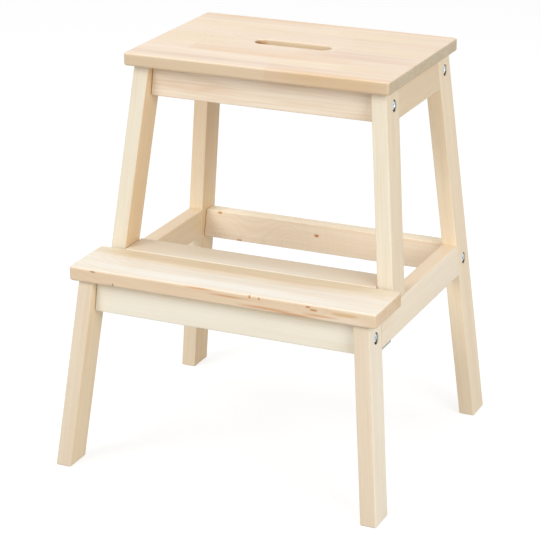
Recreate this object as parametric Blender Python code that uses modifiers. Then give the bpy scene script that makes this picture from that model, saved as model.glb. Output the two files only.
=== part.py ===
"""Wooden step stool with two levels, joined with connector bolts, dowels and wood screws.

Metres. +Z is up, +Y points to the back, and the origin is on the floor under the middle of the feet.
Left and right are those of a person who stands in front of the stool, so left is -X.
"""

import math

import bpy
from mathutils import Vector

# Overall sizes
STOOL_DEPTH = 0.390
STOOL_HEIGHT = 0.500
FOOT_HALF_WIDTH = 0.2128
GAP = 0.0003

# Lean of the legs, as horizontal travel for each metre of height
SIDE_SPLAY = 0.1022
FRONT_RAKE = 0.1228
BACK_RAKE = 0.0821
UPPER_LEG_SETBACK = 0.078

# Bars
STOCK_THICKNESS = 0.020
STOCK_WIDTH = 0.039
BAR_EASE = 0.0009

# Top board
TOP_HALF_WIDTH = 0.1718
TOP_FRONT = -0.0708
TOP_BACK = 0.1642
TOP_THICKNESS = 0.016
HAND_HOLE_LENGTH = 0.100
HAND_HOLE_WIDTH = 0.023
HAND_HOLE_Y = 0.0490

# Lower step
STEP_HALF_WIDTH = 0.1994
STEP_FRONT = -0.1712
STEP_BACK = -0.0880
STEP_TOP = 0.256
STEP_THICKNESS = 0.018
SLAT_DEPTH = 0.0445
BOARD_EASE = 0.0020
BOARD_CORNER = 0.0045

# Rails
SIDE_RAIL_HEIGHT = 0.0388
FRONT_RAIL_HEIGHT = 0.040
BACK_RAIL_HEIGHT = 0.0385
UPPER_FRONT_RAIL_Y = -0.047
LOWER_FRONT_RAIL_Y = -0.1575
UPPER_BACK_RAIL_Y = 0.1275
LOWER_BACK_RAIL_Y = 0.148
LOWER_BACK_RAIL_LOW = 0.1964

# Connector bolts and their barrel nuts
BOLT_RADIUS = 0.003
BOLT_HOLE_RADIUS = 0.0033
BOLT_HEAD_RADIUS = 0.0066
BOLT_HEAD_HEIGHT = 0.0032
BOLT_RECESS_RADIUS = 0.0073
BOLT_SEAT_DEPTH = 0.0040
BOLT_PAST_NUT = 0.0085
SOCKET_RADIUS = 0.0023
SOCKET_DEPTH = 0.0021
NUT_RADIUS = 0.005
NUT_LENGTH = 0.015
NUT_FROM_RAIL_END = 0.030
NUT_HOLE_DEPTH = 0.0178

# Dowels, wood screws and the corner plates
DOWEL_RADIUS = 0.003
DOWEL_LENGTH = 0.028
DOWEL_ABOVE_MIDDLE = 0.012
FOOT_DOWEL_RADIUS = 0.004
FOOT_DOWEL_LENGTH = 0.036
FOOT_DOWEL_FORWARD = 0.006
SLAT_DOWEL_LENGTH = 0.0224
SLAT_DOWEL_BACK = 0.009
SCREW_RADIUS = 0.002
SCREW_HEAD_TO_SHANK = 2.0
SCREW_POCKET_RADIUS = 0.005
SCREW_BITE = 0.011
TOP_SCREW_X = 0.070
STEP_SCREW_X = 0.090
SIDE_SCREW_FROM_STEP_BACK = 0.0085
PLATE_THICKNESS = 0.0015
PLATE_SCREW_RADIUS = 0.0016
PLATE_SCREW_LENGTH = 0.0125
PLATE_WIDTH = 0.044
PLATE_DEPTH = 0.029
PLATE_FLANGE_HEIGHT = 0.013
PLATE_CLIP = 0.015
ROUND_STEPS = 20
SMALL_STEPS = 12

# Heights that follow from the sizes above
TOP_UNDERSIDE = STOOL_HEIGHT - TOP_THICKNESS
STEP_UNDERSIDE = STEP_TOP - STEP_THICKNESS
UPPER_RAIL_TOP = TOP_UNDERSIDE - GAP
LOWER_RAIL_TOP = STEP_UNDERSIDE - GAP
THICKNESS_ACROSS = STOCK_THICKNESS * math.hypot(1, SIDE_SPLAY)
FRONT_LEG_DEPTH = STOCK_WIDTH * math.hypot(1, FRONT_RAKE)
BACK_LEG_DEPTH = STOCK_WIDTH * math.hypot(1, BACK_RAKE)

SIDES = {"left": -1, "right": 1}
PALE = (0.86, 0.72, 0.53)
CREAM = (0.84, 0.71, 0.53)
TAN = (0.78, 0.62, 0.43)
BEECH = (0.70, 0.52, 0.34)
ZINC = (0.62, 0.66, 0.67)


def clear_scene():
    for thing in list(bpy.data.objects):
        bpy.data.objects.remove(thing, do_unlink=True)


def new_collection(name):
    made = bpy.data.collections.new(name)
    bpy.context.scene.collection.children.link(made)
    return made


def file_under(thing, collection):
    for holder in list(thing.users_collection):
        holder.objects.unlink(thing)
    collection.objects.link(thing)


def paint(thing, colour, roughness, metallic=0.0):
    """Gives the object a plain Principled material of its own."""
    material = bpy.data.materials.new(thing.name + "_material")
    material.use_nodes = True
    shader = material.node_tree.nodes["Principled BSDF"]
    shader.inputs["Base Color"].default_value = (*colour, 1.0)
    shader.inputs["Roughness"].default_value = roughness
    shader.inputs["Metallic"].default_value = metallic
    material.diffuse_color = (*colour, 1.0)
    thing.data.materials.clear()
    thing.data.materials.append(material)


def keep(thing, colour, roughness=0.55, metallic=0.0):
    """Files a finished piece in the stool's collection and paints it."""
    file_under(thing, STOOL)
    paint(thing, colour, roughness, metallic)
    return thing


def as_cutter(thing):
    file_under(thing, CUTTERS)
    thing.hide_render = True
    thing.display_type = "WIRE"
    return thing


def cut(target, cutter, name):
    trim = target.modifiers.new(name, "BOOLEAN")
    trim.operation = "DIFFERENCE"
    trim.solver = "EXACT"
    trim.object = cutter


def ease(target, width, segments, name="eased_edges"):
    bevel = target.modifiers.new(name, "BEVEL")
    bevel.width = width
    bevel.segments = segments
    bevel.limit_method = "ANGLE"
    bevel.angle_limit = math.radians(40)


def leaning_block(name, low, high, sides):
    """A cube fitted between two heights; sides(z) gives its (x0, x1, y0, y1) at height z."""
    centres = [sides(z) for z in (low, high)]
    middle = Vector(
        (
            sum(c[0] + c[1] for c in centres) / 4,
            sum(c[2] + c[3] for c in centres) / 4,
            (low + high) / 2,
        )
    )
    bpy.ops.mesh.primitive_cube_add(size=2, location=middle)
    block = bpy.context.object
    block.name = name
    for corner in block.data.vertices:
        z = high if corner.co.z > 0 else low
        x0, x1, y0, y1 = sides(z)
        x = x1 if corner.co.x > 0 else x0
        y = y1 if corner.co.y > 0 else y0
        corner.co = Vector((x, y, z)) - middle
    return block


def box(name, x0, x1, y0, y1, z0, z1):
    return leaning_block(name, z0, z1, lambda z: (x0, x1, y0, y1))


def turned(name, profile, steps):
    """Turns (radius, height) points, from the top of the axis down to its bottom, into a solid."""
    mesh = bpy.data.meshes.new(name)
    points = [(radius, 0.0, height) for radius, height in profile]
    mesh.from_pydata(points, [(i, i + 1) for i in range(len(points) - 1)], [])
    thing = bpy.data.objects.new(name, mesh)
    bpy.context.scene.collection.objects.link(thing)
    lathe = thing.modifiers.new("lathe", "SCREW")
    lathe.axis = "Z"
    lathe.steps = steps
    lathe.render_steps = steps
    lathe.use_merge_vertices = True
    lathe.merge_threshold = 0.00001
    lathe.use_smooth_shade = True
    return thing


def point_along(thing, start, direction):
    """Puts the object's origin at start, with its local +Z along the direction."""
    thing.location = start
    thing.rotation_mode = "QUATERNION"
    thing.rotation_quaternion = Vector(direction).to_track_quat("Z", "Y")


def rod(name, radius, start, end, vertices=20):
    """A plain cylinder between two points."""
    start, end = Vector(start), Vector(end)
    bpy.ops.mesh.primitive_cylinder_add(
        vertices=vertices, radius=radius, depth=(end - start).length
    )
    thing = bpy.context.object
    thing.name = name
    point_along(thing, (start + end) / 2, end - start)
    return thing


def outer_x(z):
    """Distance of the side frames' outer faces from the middle of the stool at height z."""
    return FOOT_HALF_WIDTH - SIDE_SPLAY * z


def middle_x(z):
    return outer_x(z) - THICKNESS_ACROSS / 2


def lower_leg_front(z):
    return -STOOL_DEPTH / 2 + FRONT_RAKE * z


def upper_leg_front(z):
    return lower_leg_front(z) + UPPER_LEG_SETBACK


def back_leg_back(z):
    return STOOL_DEPTH / 2 - BACK_RAKE * z


def side_span(side, z):
    """The two x values of a side frame at height z, lowest first."""
    ends = (side * outer_x(z), side * (outer_x(z) - THICKNESS_ACROSS))
    return min(ends), max(ends)


def make_legs(side_name, side):
    def lower_front(z):
        return (*side_span(side, z), lower_leg_front(z), lower_leg_front(z) + FRONT_LEG_DEPTH)

    def upper_front(z):
        return (*side_span(side, z), upper_leg_front(z), upper_leg_front(z) + FRONT_LEG_DEPTH)

    def back(z):
        return (*side_span(side, z), back_leg_back(z) - BACK_LEG_DEPTH, back_leg_back(z))

    legs = {
        "lower_front_leg": leaning_block("lower_front_leg_" + side_name, 0, LOWER_RAIL_TOP, lower_front),
        "upper_front_leg": leaning_block(
            "upper_front_leg_" + side_name, STEP_UNDERSIDE, UPPER_RAIL_TOP, upper_front
        ),
        "back_leg": leaning_block("back_leg_" + side_name, 0, UPPER_RAIL_TOP, back),
    }
    for leg in legs.values():
        ease(keep(leg, CREAM), BAR_EASE, 1)
    return legs


def make_side_rails(side_name, side):
    """The two rails of a side frame, each cut to the slope of the legs it stands between."""

    def lower(z):
        front = lower_leg_front(z) + FRONT_LEG_DEPTH + GAP
        back = back_leg_back(z) - BACK_LEG_DEPTH - GAP
        return (*side_span(side, z), front, back)

    def upper(z):
        front = upper_leg_front(z) + FRONT_LEG_DEPTH + GAP
        back = back_leg_back(z) - BACK_LEG_DEPTH - GAP
        return (*side_span(side, z), front, back)

    rails = {
        "lower_side_rail": leaning_block(
            "lower_side_rail_" + side_name, LOWER_RAIL_TOP - SIDE_RAIL_HEIGHT, LOWER_RAIL_TOP, lower
        ),
        "upper_side_rail": leaning_block(
            "upper_side_rail_" + side_name, UPPER_RAIL_TOP - SIDE_RAIL_HEIGHT, UPPER_RAIL_TOP, upper
        ),
    }
    for rail in rails.values():
        ease(keep(rail, TAN), BAR_EASE, 1)
    return rails


def cross_rail(name, front_y, low, height):
    """A rail from one side frame to the other, with its ends cut to the splay."""

    def sides(z):
        reach = outer_x(z) - THICKNESS_ACROSS - GAP
        return -reach, reach, front_y, front_y + STOCK_THICKNESS

    rail = leaning_block(name, low, low + height, sides)
    ease(keep(rail, TAN), BAR_EASE, 1)
    return rail


def make_cross_rails():
    front_low = UPPER_RAIL_TOP - FRONT_RAIL_HEIGHT
    back_low = UPPER_RAIL_TOP - BACK_RAIL_HEIGHT
    step_low = LOWER_RAIL_TOP - FRONT_RAIL_HEIGHT
    return {
        "upper_front": cross_rail(
            "upper_front_rail", UPPER_FRONT_RAIL_Y, front_low, FRONT_RAIL_HEIGHT
        ),
        "upper_back": cross_rail("upper_back_rail", UPPER_BACK_RAIL_Y, back_low, BACK_RAIL_HEIGHT),
        "lower_front": cross_rail(
            "lower_front_rail", LOWER_FRONT_RAIL_Y, step_low, FRONT_RAIL_HEIGHT
        ),
        "lower_back": cross_rail(
            "lower_back_rail", LOWER_BACK_RAIL_Y, LOWER_BACK_RAIL_LOW, BACK_RAIL_HEIGHT
        ),
    }


def round_upright_edges(board, radius):
    """Rounds the four upright corners of a board in plan."""
    weights = board.data.attributes.new("bevel_weight_edge", "FLOAT", "EDGE")
    for edge in board.data.edges:
        low, high = (board.data.vertices[i].co for i in edge.vertices)
        weights.data[edge.index].value = float(abs(high.z - low.z) > TOP_THICKNESS / 2)
    corner = board.modifiers.new("rounded_corners", "BEVEL")
    corner.limit_method = "WEIGHT"
    corner.width = radius
    corner.segments = 4


def hand_hole_cutter():
    """A slot with half-round ends, standing right through the top board."""
    straight = HAND_HOLE_LENGTH / 2
    slot = as_cutter(
        box(
            "hand_hole_cutter",
            -straight,
            straight,
            HAND_HOLE_Y - HAND_HOLE_WIDTH / 2,
            HAND_HOLE_Y + HAND_HOLE_WIDTH / 2,
            TOP_UNDERSIDE - 0.01,
            STOOL_HEIGHT + 0.01,
        )
    )
    round_upright_edges(slot, HAND_HOLE_WIDTH / 2 - 0.00002)
    slot.modifiers["rounded_corners"].segments = 10
    return slot


def make_top_board():
    board = box(
        "top_board", -TOP_HALF_WIDTH, TOP_HALF_WIDTH, TOP_FRONT, TOP_BACK, TOP_UNDERSIDE, STOOL_HEIGHT
    )
    round_upright_edges(board, BOARD_CORNER)
    cut(board, hand_hole_cutter(), "hand_hole")
    ease(board, BOARD_EASE, 2)
    return keep(board, PALE)


def make_step_board():
    board = box(
        "step_board", -STEP_HALF_WIDTH, STEP_HALF_WIDTH, STEP_FRONT, STEP_BACK, STEP_UNDERSIDE, STEP_TOP
    )
    round_upright_edges(board, BOARD_CORNER)
    ease(board, BOARD_EASE, 2)
    return keep(board, PALE)


def make_step_back_slat():
    """The slat that fills the step between the upper front legs."""

    def sides(z):
        reach = outer_x(z) - THICKNESS_ACROSS - GAP
        return -reach, reach, STEP_BACK + GAP, STEP_BACK + GAP + SLAT_DEPTH

    slat = leaning_block("step_back_slat", STEP_UNDERSIDE, STEP_TOP, sides)
    ease(slat, BAR_EASE, 1)
    return keep(slat, PALE)


def connector_bolt(name, seat, inward, length):
    """A low domed bolt with a hexagon socket; seat is where the underside of its head rests."""
    top = BOLT_HEAD_HEIGHT
    edge = 0.0006
    bolt = turned(
        name,
        [
            (0, top),
            (BOLT_HEAD_RADIUS - 0.0032, top),
            (BOLT_HEAD_RADIUS - 0.0014, top - 0.0005),
            (BOLT_HEAD_RADIUS - 0.0004, top - 0.0012),
            (BOLT_HEAD_RADIUS, top - 0.0021),
            (BOLT_HEAD_RADIUS, GAP),
            (BOLT_RADIUS, GAP),
            (BOLT_RADIUS, edge - length),
            (BOLT_RADIUS - edge, -length),
            (0, -length),
        ],
        ROUND_STEPS,
    )
    point_along(bolt, seat, (-inward, 0, 0))
    bpy.ops.mesh.primitive_cylinder_add(
        vertices=6, radius=SOCKET_RADIUS, depth=2 * SOCKET_DEPTH, location=(0, 0, top)
    )
    socket = as_cutter(bpy.context.object)
    socket.name = name + "_socket_cutter"
    socket.parent = bolt
    cut(bolt, socket, "hexagon_socket")
    return keep(bolt, ZINC, 0.32, 1.0)


def barrel_nut(name, x, y, z, bolt_cutter):
    """A cylinder across the rail that the bolt screws into."""
    edge = 0.0005
    half = NUT_LENGTH / 2
    nut = turned(
        name,
        [
            (0, half),
            (NUT_RADIUS - edge, half),
            (NUT_RADIUS, half - edge),
            (NUT_RADIUS, edge - half),
            (NUT_RADIUS - edge, -half),
            (0, -half),
        ],
        ROUND_STEPS,
    )
    point_along(nut, (x, y, z), (0, 1, 0))
    cut(nut, bolt_cutter, "thread_bore")
    return keep(nut, ZINC, 0.35, 1.0)


def bolt_joint(name, side, leg, rail, rail_y, z):
    """Bolts one end of a cross rail to a leg: recess, shank hole, nut hole, bolt and nut."""
    middle_y = rail_y + STOCK_THICKNESS / 2
    face = outer_x(z)
    seat = face - BOLT_SEAT_DEPTH
    nut_x = face - THICKNESS_ACROSS - NUT_FROM_RAIL_END
    tip = nut_x - BOLT_PAST_NUT
    recess = as_cutter(
        rod(
            name + "_recess_cutter",
            BOLT_RECESS_RADIUS,
            (side * (face + 0.01), middle_y, z),
            (side * seat, middle_y, z),
            24,
        )
    )
    shank = as_cutter(
        rod(
            name + "_shank_cutter",
            BOLT_HOLE_RADIUS,
            (side * (seat + 0.001), middle_y, z),
            (side * (tip - 0.002), middle_y, z),
        )
    )
    back_face = rail_y + STOCK_THICKNESS
    nut_hole = as_cutter(
        rod(
            name + "_nut_cutter",
            NUT_RADIUS + GAP,
            (side * nut_x, back_face + 0.01, z),
            (side * nut_x, back_face - NUT_HOLE_DEPTH, z),
        )
    )
    cut(leg, recess, name + "_recess")
    cut(leg, shank, name + "_shank")
    cut(rail, shank, name + "_shank")
    cut(rail, nut_hole, name + "_nut_hole")
    connector_bolt("bolt_" + name, (side * seat, middle_y, z), -side, seat - tip)
    nut_y = back_face - NUT_HOLE_DEPTH + GAP + NUT_LENGTH / 2
    barrel_nut("barrel_nut_" + name, side * nut_x, nut_y, z, shank)


def make_bolt_joints(side_name, side, legs, rails):
    joints = {
        "upper_front": ("upper_front_leg", UPPER_FRONT_RAIL_Y, UPPER_RAIL_TOP - FRONT_RAIL_HEIGHT / 2),
        "upper_back": ("back_leg", UPPER_BACK_RAIL_Y, UPPER_RAIL_TOP - BACK_RAIL_HEIGHT / 2),
        "lower_front": ("lower_front_leg", LOWER_FRONT_RAIL_Y, LOWER_RAIL_TOP - FRONT_RAIL_HEIGHT / 2),
        "lower_back": ("back_leg", LOWER_BACK_RAIL_Y, LOWER_BACK_RAIL_LOW + BACK_RAIL_HEIGHT / 2),
    }
    for place, (leg, rail_y, z) in joints.items():
        bolt_joint(place + "_" + side_name, side, legs[leg], rails[place], rail_y, z)


def dowel(name, middle, direction, radius, length, holders):
    """A chamfered wooden peg, with a hole for it in each of the two pieces that hold it."""
    middle, direction = Vector(middle), Vector(direction).normalized()
    half = length / 2
    edge = radius / 4
    peg = turned(
        name,
        [
            (0, half),
            (radius - edge, half),
            (radius, half - edge),
            (radius, edge - half),
            (radius - edge, -half),
            (0, -half),
        ],
        SMALL_STEPS,
    )
    point_along(peg, middle, direction)
    reach = direction * (half + 2 * GAP)
    hole = as_cutter(
        rod(name + "_cutter", radius + GAP, middle - reach, middle + reach, SMALL_STEPS)
    )
    for holder in holders:
        cut(holder, hole, name)
    return keep(peg, BEECH, 0.65)


def make_dowels(side_name, side, legs, rails, slat):
    lower_z = LOWER_RAIL_TOP - SIDE_RAIL_HEIGHT / 2 + DOWEL_ABOVE_MIDDLE
    upper_z = UPPER_RAIL_TOP - SIDE_RAIL_HEIGHT / 2 + DOWEL_ABOVE_MIDDLE
    seams = {
        "lower_front": (legs["lower_front_leg"], rails["lower_side_rail"], lower_z, lower_leg_front),
        "upper_front": (legs["upper_front_leg"], rails["upper_side_rail"], upper_z, upper_leg_front),
        "lower_back": (legs["back_leg"], rails["lower_side_rail"], lower_z, back_leg_back),
        "upper_back": (legs["back_leg"], rails["upper_side_rail"], upper_z, back_leg_back),
    }
    for place, (leg, rail, z, edge_of) in seams.items():
        y = edge_of(z) + (FRONT_LEG_DEPTH if "front" in place else -BACK_LEG_DEPTH)
        dowel(
            f"dowel_{place}_{side_name}",
            (side * middle_x(z), y, z),
            (0, 1, 0),
            DOWEL_RADIUS,
            DOWEL_LENGTH,
            (leg, rail),
        )
    leg_middle = upper_leg_front(STEP_UNDERSIDE) + FRONT_LEG_DEPTH / 2
    dowel(
        "dowel_upper_leg_foot_" + side_name,
        (side * middle_x(STEP_UNDERSIDE), leg_middle - FOOT_DOWEL_FORWARD, LOWER_RAIL_TOP),
        (0, 0, 1),
        FOOT_DOWEL_RADIUS,
        FOOT_DOWEL_LENGTH,
        (legs["upper_front_leg"], rails["lower_side_rail"]),
    )
    slat_z = (STEP_TOP + STEP_UNDERSIDE) / 2
    dowel(
        "dowel_slat_" + side_name,
        (side * (outer_x(slat_z) - THICKNESS_ACROSS), leg_middle + SLAT_DOWEL_BACK, slat_z),
        (1, 0, 0),
        DOWEL_RADIUS,
        SLAT_DOWEL_LENGTH,
        (legs["upper_front_leg"], slat),
    )


def countersunk_screw(name, head, direction, length, radius, holders):
    """A wood screw whose flat head lies at head; holders get its clearance hole."""
    direction = Vector(direction)
    head = Vector(head)
    wide = radius * SCREW_HEAD_TO_SHANK
    screw = turned(
        name,
        [
            (0, 0),
            (wide, 0),
            (wide, -radius * 0.2),
            (radius, -radius * 1.4),
            (radius, radius * 2 - length),
            (radius * 0.15, -length),
            (0, -length),
        ],
        SMALL_STEPS,
    )
    point_along(screw, head, -direction)
    hole = as_cutter(
        rod(
            name + "_cutter",
            radius + GAP,
            head - direction * 0.001,
            head + direction * (length + GAP),
            SMALL_STEPS,
        )
    )
    for holder in holders:
        cut(holder, hole, name)
    return keep(screw, ZINC, 0.4, 1.0)


def board_screw(name, x, y, rail, board, rail_low, rail_top):
    """A screw up through a rail into a board, its head in a pocket in the rail's underside."""
    length = SCREW_BITE + (rail_top - rail_low) * 0.55
    head_z = rail_top + GAP + SCREW_BITE - length
    pocket = as_cutter(
        rod(
            name + "_pocket_cutter",
            SCREW_POCKET_RADIUS,
            (x, y, rail_low - 0.01),
            (x, y, head_z + 0.003),
            SMALL_STEPS,
        )
    )
    cut(rail, pocket, name + "_pocket")
    countersunk_screw(name, (x, y, head_z), (0, 0, 1), length, SCREW_RADIUS, (rail, board))


def make_board_screws(side_name, side, side_rails, rails, top, step):
    top_x = side * TOP_SCREW_X
    for place, rail_y, height in (
        ("front", UPPER_FRONT_RAIL_Y, FRONT_RAIL_HEIGHT),
        ("back", UPPER_BACK_RAIL_Y, BACK_RAIL_HEIGHT),
    ):
        board_screw(
            f"top_screw_{place}_{side_name}",
            top_x,
            rail_y + STOCK_THICKNESS / 2,
            rails["upper_" + place],
            top,
            UPPER_RAIL_TOP - height,
            UPPER_RAIL_TOP,
        )
    board_screw(
        "step_screw_front_" + side_name,
        side * STEP_SCREW_X,
        LOWER_FRONT_RAIL_Y + STOCK_THICKNESS / 2,
        rails["lower_front"],
        step,
        LOWER_RAIL_TOP - FRONT_RAIL_HEIGHT,
        LOWER_RAIL_TOP,
    )
    board_screw(
        "step_screw_side_" + side_name,
        side * (middle_x(LOWER_RAIL_TOP) + 0.0005),
        STEP_BACK - SIDE_SCREW_FROM_STEP_BACK,
        side_rails["lower_side_rail"],
        step,
        LOWER_RAIL_TOP - SIDE_RAIL_HEIGHT,
        LOWER_RAIL_TOP,
    )


def join_block(target, block, name):
    add = target.modifiers.new(name, "BOOLEAN")
    add.operation = "UNION"
    add.solver = "EXACT"
    add.object = as_cutter(block)


def make_corner_plate(side_name, side, side_rail, front_rail):
    """A thin steel plate under the side rail, turned up against the back of the front rail."""
    top = LOWER_RAIL_TOP - SIDE_RAIL_HEIGHT - GAP
    low = top - PLATE_THICKNESS
    outer = outer_x(low) - 0.0008
    inner = outer - PLATE_WIDTH
    rail_back = LOWER_FRONT_RAIL_Y + STOCK_THICKNESS + GAP
    leg_back = lower_leg_front(low) + FRONT_LEG_DEPTH + 2 * GAP
    tongue_outer = outer_x(low) - THICKNESS_ACROSS - 0.002
    name = "corner_plate_" + side_name

    def across(near, far):
        return sorted((side * near, side * far))

    plate = box(name, *across(inner, outer), leg_back, leg_back + PLATE_DEPTH, low, top)
    tongue = box(
        name + "_tongue", *across(inner, tongue_outer), rail_back, leg_back + 0.005, low, top
    )
    flange = box(
        name + "_flange",
        *across(inner, tongue_outer),
        rail_back,
        rail_back + PLATE_THICKNESS,
        low,
        top + PLATE_FLANGE_HEIGHT,
    )
    join_block(plate, tongue, "tongue")
    join_block(plate, flange, "flange")
    corner = box(
        name + "_corner_cutter", -PLATE_CLIP, PLATE_CLIP, -PLATE_CLIP, PLATE_CLIP, low - 0.002, top + 0.002
    )
    corner.location.x = side * inner
    corner.location.y = leg_back + PLATE_DEPTH
    corner.rotation_euler.z = math.radians(45)
    cut(plate, as_cutter(corner), "clipped_corner")
    keep(plate, ZINC, 0.4, 1.0)
    countersunk_screw(
        "plate_screw_side_" + side_name,
        (side * middle_x(low), leg_back + PLATE_DEPTH / 3, low - GAP),
        (0, 0, 1),
        PLATE_SCREW_LENGTH,
        PLATE_SCREW_RADIUS,
        (side_rail,),
    )
    countersunk_screw(
        "plate_screw_front_" + side_name,
        (side * (inner + PLATE_WIDTH / 4), rail_back + PLATE_THICKNESS + GAP, top + PLATE_FLANGE_HEIGHT / 2),
        (0, -1, 0),
        PLATE_SCREW_LENGTH,
        PLATE_SCREW_RADIUS,
        (front_rail,),
    )
    return plate


def plate_screw_holes(plate, side_name):
    """Opens each screw's hole in the plate wide enough for its countersunk head."""
    for place in ("side", "front"):
        screw = bpy.data.objects[f"plate_screw_{place}_{side_name}"]
        axis = screw.rotation_quaternion @ Vector((0, 0, 1))
        hole = as_cutter(
            rod(
                f"plate_hole_cutter_{place}_{side_name}",
                PLATE_SCREW_RADIUS * SCREW_HEAD_TO_SHANK + GAP,
                screw.location + axis * 0.002,
                screw.location - axis * 0.0045,
                SMALL_STEPS,
            )
        )
        cut(plate, hole, "screw_hole_" + place)


clear_scene()
STOOL = new_collection("step_stool")
CUTTERS = new_collection("cutters")
CUTTERS.hide_render = True

top_board = make_top_board()
step_board = make_step_board()
step_back_slat = make_step_back_slat()
cross_rails = make_cross_rails()
for side_name, side in SIDES.items():
    legs = make_legs(side_name, side)
    side_rails = make_side_rails(side_name, side)
    make_bolt_joints(side_name, side, legs, cross_rails)
    make_dowels(side_name, side, legs, side_rails, step_back_slat)
    make_board_screws(side_name, side, side_rails, cross_rails, top_board, step_board)
    plate = make_corner_plate(
        side_name, side, side_rails["lower_side_rail"], cross_rails["lower_front"]
    )
    plate_screw_holes(plate, side_name)
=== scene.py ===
"""Looks of a two-level wooden step stool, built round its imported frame.

Metres. +Z is up, +Y is the back, and left is -X. Each wooden bar and board is a surface
with eased edges, worked out with numpy in the place of its CAD node. Wood, zinc and steel
are procedural, and read object coordinates turned to the grain of each piece.
"""

import math

import bpy
import numpy as np
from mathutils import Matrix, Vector


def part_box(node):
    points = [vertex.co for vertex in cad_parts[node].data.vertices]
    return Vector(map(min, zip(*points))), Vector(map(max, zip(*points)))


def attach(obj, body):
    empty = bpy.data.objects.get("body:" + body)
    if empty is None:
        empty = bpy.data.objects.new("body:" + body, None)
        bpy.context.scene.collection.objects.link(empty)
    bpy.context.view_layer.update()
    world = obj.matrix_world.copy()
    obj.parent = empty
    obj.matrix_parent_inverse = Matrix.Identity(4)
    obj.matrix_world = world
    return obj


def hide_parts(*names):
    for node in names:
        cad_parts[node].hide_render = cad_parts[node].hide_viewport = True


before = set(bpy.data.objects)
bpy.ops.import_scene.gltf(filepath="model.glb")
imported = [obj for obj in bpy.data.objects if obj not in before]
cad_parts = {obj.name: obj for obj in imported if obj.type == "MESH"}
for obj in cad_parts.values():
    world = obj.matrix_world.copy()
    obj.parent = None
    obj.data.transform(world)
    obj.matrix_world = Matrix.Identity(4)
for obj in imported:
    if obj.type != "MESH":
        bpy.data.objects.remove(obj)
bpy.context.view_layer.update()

MM = 0.001
STOCK_THICKNESS = 20 * MM
STOCK_WIDTH = 39 * MM

BAR_EASE = 1.3 * MM
BOARD_EASE = 2.6 * MM
BOARD_CORNER = 5.0 * MM
EASE_STEPS = 4
CORNER_STEPS = 6
SUPPORT = 0.5 * MM
SMOOTH_BELOW = math.radians(38)

SLOT_LENGTH = 100 * MM
SLOT_WIDTH = 23 * MM
SLOT_MIDDLE = 49 * MM
SLOT_EASE = 2.0 * MM

# What a mark does to the wood round it, and how much of its reach its edge takes. Most marks are the wood's
# own tone, figure and knots; some are painted shade or painted bounce light.
MARK_TINT = {
    "tan": (0.87, 0.78, 0.62),
    "butter": (1.0, 1.0, 0.93),
    "cream": (1.03, 1.06, 1.08),
    "rust": (0.82, 0.58, 0.43),
    "pale": (1.06, 1.13, 1.22),
    "peach": (0.98, 0.92, 0.84),
    # Painted warm bounce light, for the top of the lower front rail under the step
    "painted_warm_bounce": (1.08, 0.98, 0.87),
    # Painted shade, for the upper part of the left back leg under the top board
    "painted_shade_under_top": (0.91, 0.87, 0.83),
    # Knots; the same dark tint also paints shade at the hand hole's left end
    "knot_and_painted_shade": (0.7, 0.42, 0.22),
    # Painted shade on the walls of the bolt recesses
    "bore": (0.16, 0.11, 0.08),
    "fleck": (0.45, 0.36, 0.3),
    "mauve": (0.93, 0.9, 0.93),
}
SOFT_EDGE = {
    "tan": 0.5,
    "butter": 0.9,
    "cream": 0.9,
    "peach": 0.7,
    "painted_warm_bounce": 0.9,
    "painted_shade_under_top": 0.8,
    "rust": 0.9,
    "pale": 0.8,
    "knot_and_painted_shade": 0.6,
    "fleck": 0.6,
    "mauve": 0.9,
    "bore": 0.1,
}

WORLD_LIGHT = 0.544
LAMPS = {
    "front_left_light": ((-1.6, -2.4, 2.2), 54.5),
    "right_light": ((2.6, -1.6, 1.4), 47.8),
    "top_light": ((0.0, 0.2, 3.0), 16.6),
}

CAMERA_AT = (0.9885, -2.2314, 1.1219)
CAMERA_AZIMUTH = 24.09
CAMERA_ELEVATION = 20.21
CAMERA_LENS = 139.23
CAMERA_SENSOR = 36.0


# ---------------------------------------------------------------- surfaces


def mesh_object(name, points, faces):
    """An object at the origin with these points and faces, turned outward if they face inward."""
    mesh = bpy.data.meshes.new(name)
    mesh.from_pydata(points.tolist(), [], faces)
    mesh.validate()
    mesh.calc_loop_triangles()
    corner = np.empty(len(mesh.loop_triangles) * 3, np.int32)
    mesh.loop_triangles.foreach_get("vertices", corner)
    if np.linalg.det(points[corner.reshape(-1, 3)]).sum() < 0:
        mesh.flip_normals()
    made = bpy.data.objects.new(name, mesh)
    bpy.context.scene.collection.objects.link(made)
    return made


def ring_faces(rings, count, closed=False):
    """Quads between neighbouring rings of `count` points each, joined round, and end to start if closed."""
    here = np.arange(count)
    after = (here + 1) % count
    start = np.arange(rings if closed else rings - 1)[:, None] * count
    following = (start + count) % (rings * count)
    quads = np.stack([start + here, start + after, following + after, following + here], axis=-1)
    return quads.reshape(-1, 4).tolist()


def capped_rings(rings):
    """Points and faces of stacked rings, closed at both ends by a fan round the ring's middle."""
    count = rings.shape[1]
    points = np.concatenate([rings.reshape(-1, 3), rings[0].mean(0)[None], rings[-1].mean(0)[None]])
    faces = ring_faces(len(rings), count)
    here = np.arange(count)
    after = (here + 1) % count
    last = (len(rings) - 1) * count
    first_middle = len(rings) * count
    faces += np.stack([after, here, np.full(count, first_middle)], axis=-1).tolist()
    faces += np.stack([last + here, last + after, np.full(count, first_middle + 1)], axis=-1).tolist()
    return points, faces


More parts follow.
